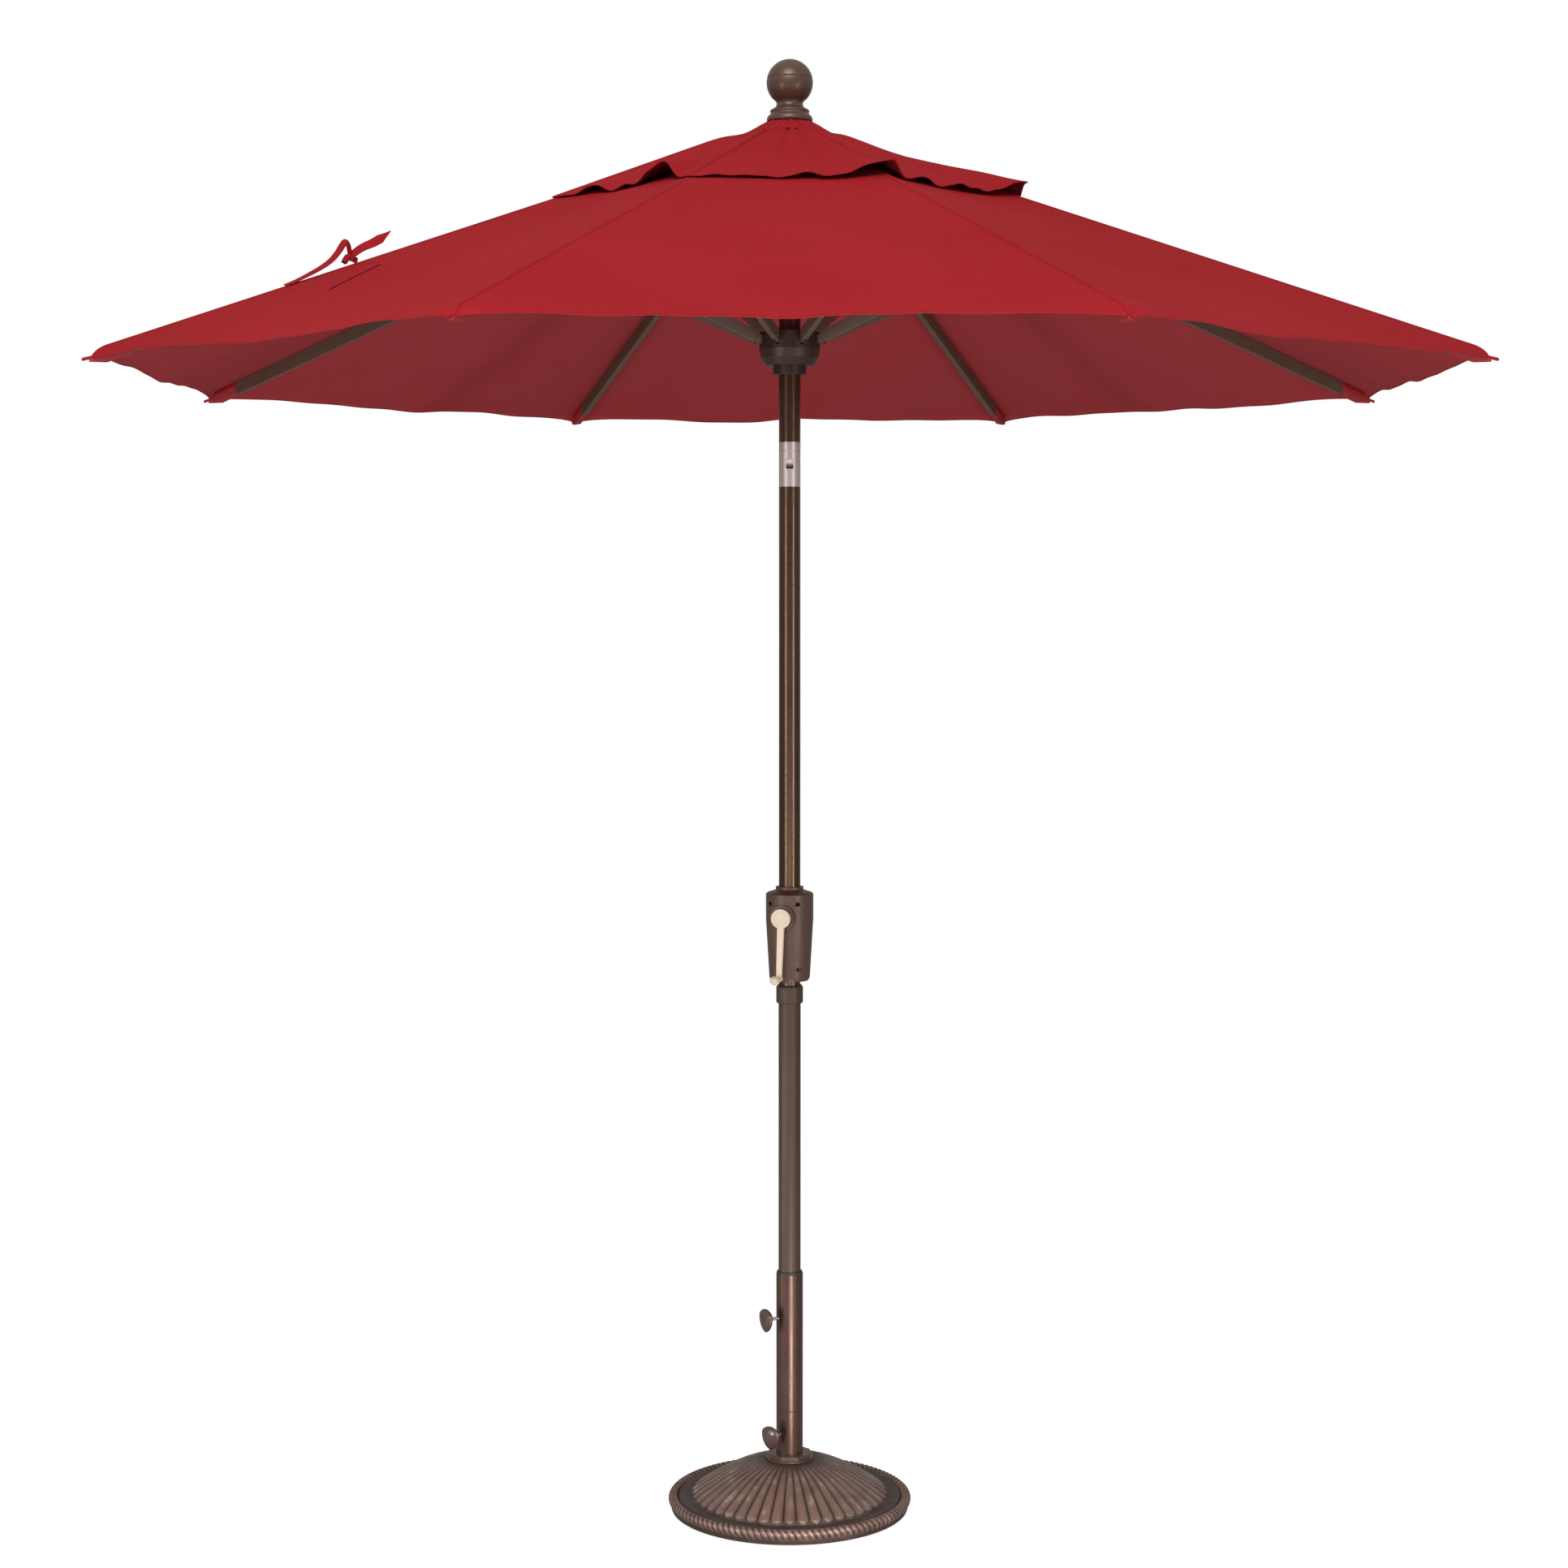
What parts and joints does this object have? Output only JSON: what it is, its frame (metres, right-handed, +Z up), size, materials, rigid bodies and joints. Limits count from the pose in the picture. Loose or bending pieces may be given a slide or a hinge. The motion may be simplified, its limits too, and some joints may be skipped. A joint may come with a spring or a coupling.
{
  "type": "patio umbrella with base",
  "caption": "Octagonal crank-lift patio umbrella with a vented red canopy, a tilting bronze pole and a round weighted stand.",
  "frame": {"origin": "on the pole's axis at floor level, under the middle of the base", "axes": "+Z up along the pole; -Y is the front, where the crank is; +X is to the right seen from the front"},
  "size_m": [2.402, 2.402, 2.7776],
  "materials": {
    "canopy_fabric": "matt woven polyester",
    "frame_bronze": "satin bronze powder coat",
    "stem_bronze": "semi-gloss bronze paint",
    "base_bronze": "antiqued bronze paint on a casting",
    "ballast": "cast resin and sand fill",
    "rubber": "matt",
    "housing_plastic": "satin moulded",
    "hub_plastic": "satin moulded",
    "finial_bronze": "satin moulded",
    "knob_bronze": "glossy moulded",
    "cream_plastic": "satin moulded",
    "dark_plastic": "matt moulded",
    "tilt_silver": "satin cast",
    "bare_aluminium": "mill finish",
    "bright_steel": "zinc plated"
  },
  "bodies": {
    "base": {"base_shell": "base_bronze", "base_ballast": "ballast", "rubber_feet": "rubber", "stem_tube": "stem_bronze", "stem_flange": "base_bronze", "stem_bush": "dark_plastic"},
    "upper_knob": {"upper_knob": "knob_bronze", "upper_knob_stud": "bright_steel"},
    "lower_knob": {"lower_knob": "knob_bronze", "lower_knob_stud": "bright_steel"},
    "pole_foot": {"pole_foot_plug": "dark_plastic"},
    "pole": {"lower_pole": "frame_bronze", "pole_ferrule": "bare_aluminium", "pole_joint_collar": "housing_plastic", "main_pole": "frame_bronze", "crank_housing_front": "housing_plastic", "crank_housing_rear": "housing_plastic", "housing_screws": "bright_steel", "tilt_lower_knuckle": "tilt_silver", "tilt_pin": "bright_steel"},
    "crank": {"crank_arm": "cream_plastic", "crank_spindle": "bright_steel", "cord_spool": "dark_plastic", "crank_knob_pin": "bright_steel"},
    "crank_knob": {"crank_knob": "cream_plastic"},
    "mast": {"tilt_upper_knuckle": "tilt_silver", "upper_mast": "frame_bronze", "crown_hub": "hub_plastic", "crown_pins": "bright_steel", "finial": "finial_bronze", "vent_canopy": "canopy_fabric"},
    "pulley": {"top_pulley": "dark_plastic"},
    "runner": {"runner_hub": "hub_plastic", "runner_collar": "hub_plastic", "runner_pins": "bright_steel"},
    "rib_1": {"rib_1": "frame_bronze", "canopy_gore_1": "canopy_fabric"},
    "strut_1": {"strut_1": "frame_bronze"},
    "rib_2": {"rib_2": "frame_bronze", "canopy_gore_2": "canopy_fabric"},
    "strut_2": {"strut_2": "frame_bronze"},
    "rib_3": {"rib_3": "frame_bronze", "canopy_gore_3": "canopy_fabric"},
    "strut_3": {"strut_3": "frame_bronze"},
    "rib_4": {"rib_4": "frame_bronze", "canopy_gore_4": "canopy_fabric"},
    "strut_4": {"strut_4": "frame_bronze"},
    "rib_5": {"rib_5": "frame_bronze", "canopy_gore_5": "canopy_fabric", "closure_strap": "canopy_fabric"},
    "strut_5": {"strut_5": "frame_bronze"},
    "rib_6": {"rib_6": "frame_bronze", "canopy_gore_6": "canopy_fabric"},
    "strut_6": {"strut_6": "frame_bronze"},
    "rib_7": {"rib_7": "frame_bronze", "canopy_gore_7": "canopy_fabric"},
    "strut_7": {"strut_7": "frame_bronze"},
    "rib_8": {"rib_8": "frame_bronze", "canopy_gore_8": "canopy_fabric"},
    "strut_8": {"strut_8": "frame_bronze"}
  },
  "joints": [
    {"name": "pole_lift", "type": "slide", "parent": "base", "child": "pole_foot", "axis": [0, 0, 1], "range_m": [0, 0.44]},
    {"name": "pole_turn", "type": "hinge", "parent": "pole_foot", "child": "pole", "pos_m": [0, 0, 0.03], "axis": [0, 0, 1], "continuous": true},
    {"name": "upper_knob_turn", "type": "hinge", "parent": "base", "child": "upper_knob", "pos_m": [0, 0, 0.377], "axis": [-0.8746, -0.4848, 0], "range_deg": [0, 1080]},
    {"name": "lower_knob_turn", "type": "hinge", "parent": "base", "child": "lower_knob", "pos_m": [0, 0, 0.15], "axis": [-0.7071, -0.7071, 0], "range_deg": [0, 1080]},
    {"name": "tilt", "type": "hinge", "parent": "pole", "child": "mast", "pos_m": [0, 0, 2.028], "axis": [1, 0, 0], "range_deg": [-30, 0]},
    {"name": "fold", "type": "hinge", "parent": "mast", "child": "rib_1", "pos_m": [0.04619, 0.01913, 2.62798], "axis": [-0.3827, 0.9239, 0], "range_deg": [0, 65], "deforming": ["canopy_gore_1", "canopy_gore_2", "canopy_gore_3", "canopy_gore_4", "canopy_gore_5", "canopy_gore_6", "canopy_gore_7", "canopy_gore_8", "vent_canopy", "closure_strap"]},
    {"name": "rib_hinge_2", "type": "hinge", "parent": "mast", "child": "rib_2", "pos_m": [0.01913, 0.04619, 2.62798], "axis": [-0.9239, 0.3827, 0], "range_deg": [0, 65]},
    {"name": "rib_hinge_3", "type": "hinge", "parent": "mast", "child": "rib_3", "pos_m": [-0.01913, 0.04619, 2.62798], "axis": [-0.9239, -0.3827, 0], "range_deg": [0, 65]},
    {"name": "rib_hinge_4", "type": "hinge", "parent": "mast", "child": "rib_4", "pos_m": [-0.04619, 0.01913, 2.62798], "axis": [-0.3827, -0.9239, 0], "range_deg": [0, 65]},
    {"name": "rib_hinge_5", "type": "hinge", "parent": "mast", "child": "rib_5", "pos_m": [-0.04619, -0.01913, 2.62798], "axis": [0.3827, -0.9239, 0], "range_deg": [0, 65]},
    {"name": "rib_hinge_6", "type": "hinge", "parent": "mast", "child": "rib_6", "pos_m": [-0.01913, -0.04619, 2.62798], "axis": [0.9239, -0.3827, 0], "range_deg": [0, 65]},
    {"name": "rib_hinge_7", "type": "hinge", "parent": "mast", "child": "rib_7", "pos_m": [0.01913, -0.04619, 2.62798], "axis": [0.9239, 0.3827, 0], "range_deg": [0, 65]},
    {"name": "rib_hinge_8", "type": "hinge", "parent": "mast", "child": "rib_8", "pos_m": [0.04619, -0.01913, 2.62798], "axis": [0.3827, 0.9239, 0], "range_deg": [0, 65]},
    {"name": "strut_hinge_1", "type": "hinge", "parent": "rib_1", "child": "strut_1", "pos_m": [0.45895, 0.1901, 2.43922], "axis": [-0.3827, 0.9239, 0], "range_deg": [-130, 0]},
    {"name": "strut_hinge_2", "type": "hinge", "parent": "rib_2", "child": "strut_2", "pos_m": [0.1901, 0.45895, 2.43922], "axis": [-0.9239, 0.3827, 0], "range_deg": [-130, 0]},
    {"name": "strut_hinge_3", "type": "hinge", "parent": "rib_3", "child": "strut_3", "pos_m": [-0.1901, 0.45895, 2.43922], "axis": [-0.9239, -0.3827, 0], "range_deg": [-130, 0]},
    {"name": "strut_hinge_4", "type": "hinge", "parent": "rib_4", "child": "strut_4", "pos_m": [-0.45895, 0.1901, 2.43922], "axis": [-0.3827, -0.9239, 0], "range_deg": [-130, 0]},
    {"name": "strut_hinge_5", "type": "hinge", "parent": "rib_5", "child": "strut_5", "pos_m": [-0.45895, -0.1901, 2.43922], "axis": [0.3827, -0.9239, 0], "range_deg": [-130, 0]},
    {"name": "strut_hinge_6", "type": "hinge", "parent": "rib_6", "child": "strut_6", "pos_m": [-0.1901, -0.45895, 2.43922], "axis": [0.9239, -0.3827, 0], "range_deg": [-130, 0]},
    {"name": "strut_hinge_7", "type": "hinge", "parent": "rib_7", "child": "strut_7", "pos_m": [0.1901, -0.45895, 2.43922], "axis": [0.9239, 0.3827, 0], "range_deg": [-130, 0]},
    {"name": "strut_hinge_8", "type": "hinge", "parent": "rib_8", "child": "strut_8", "pos_m": [0.45895, -0.1901, 2.43922], "axis": [0.3827, 0.9239, 0], "range_deg": [-130, 0]},
    {"name": "runner_hinge", "type": "hinge", "parent": "strut_1", "child": "runner", "pos_m": [0.04619, 0.01913, 2.25046], "axis": [-0.3827, 0.9239, 0], "range_deg": [0, 65]},
    {"name": "crank_turn", "type": "hinge", "parent": "pole", "child": "crank", "pos_m": [0, 0, 1.158], "axis": [-0.2924, -0.9563, 0], "range_deg": [0, 2613]},
    {"name": "crank_knob_spin", "type": "hinge", "parent": "crank", "child": "crank_knob", "pos_m": [-0.02907, -0.08136, 1.04307], "axis": [-0.2924, -0.9563, 0], "continuous": true},
    {"name": "pulley_spin", "type": "hinge", "parent": "mast", "child": "pulley", "pos_m": [0, 0, 2.57551], "axis": [1, 0, 0], "range_deg": [0, 2718]}
  ],
  "couplings": [
    {"joint": "strut_hinge_1", "follows": "fold", "ratio": -2},
    {"joint": "rib_hinge_2", "follows": "fold", "ratio": 1},
    {"joint": "strut_hinge_2", "follows": "fold", "ratio": -2},
    {"joint": "rib_hinge_3", "follows": "fold", "ratio": 1},
    {"joint": "strut_hinge_3", "follows": "fold", "ratio": -2},
    {"joint": "rib_hinge_4", "follows": "fold", "ratio": 1},
    {"joint": "strut_hinge_4", "follows": "fold", "ratio": -2},
    {"joint": "rib_hinge_5", "follows": "fold", "ratio": 1},
    {"joint": "strut_hinge_5", "follows": "fold", "ratio": -2},
    {"joint": "rib_hinge_6", "follows": "fold", "ratio": 1},
    {"joint": "strut_hinge_6", "follows": "fold", "ratio": -2},
    {"joint": "rib_hinge_7", "follows": "fold", "ratio": 1},
    {"joint": "strut_hinge_7", "follows": "fold", "ratio": -2},
    {"joint": "rib_hinge_8", "follows": "fold", "ratio": 1},
    {"joint": "strut_hinge_8", "follows": "fold", "ratio": -2},
    {"joint": "runner_hinge", "follows": "fold", "ratio": 1},
    {"joint": "crank_turn", "follows": "fold", "ratio": 40.123},
    {"joint": "pulley_spin", "follows": "fold", "ratio": 41.738}
  ]
}
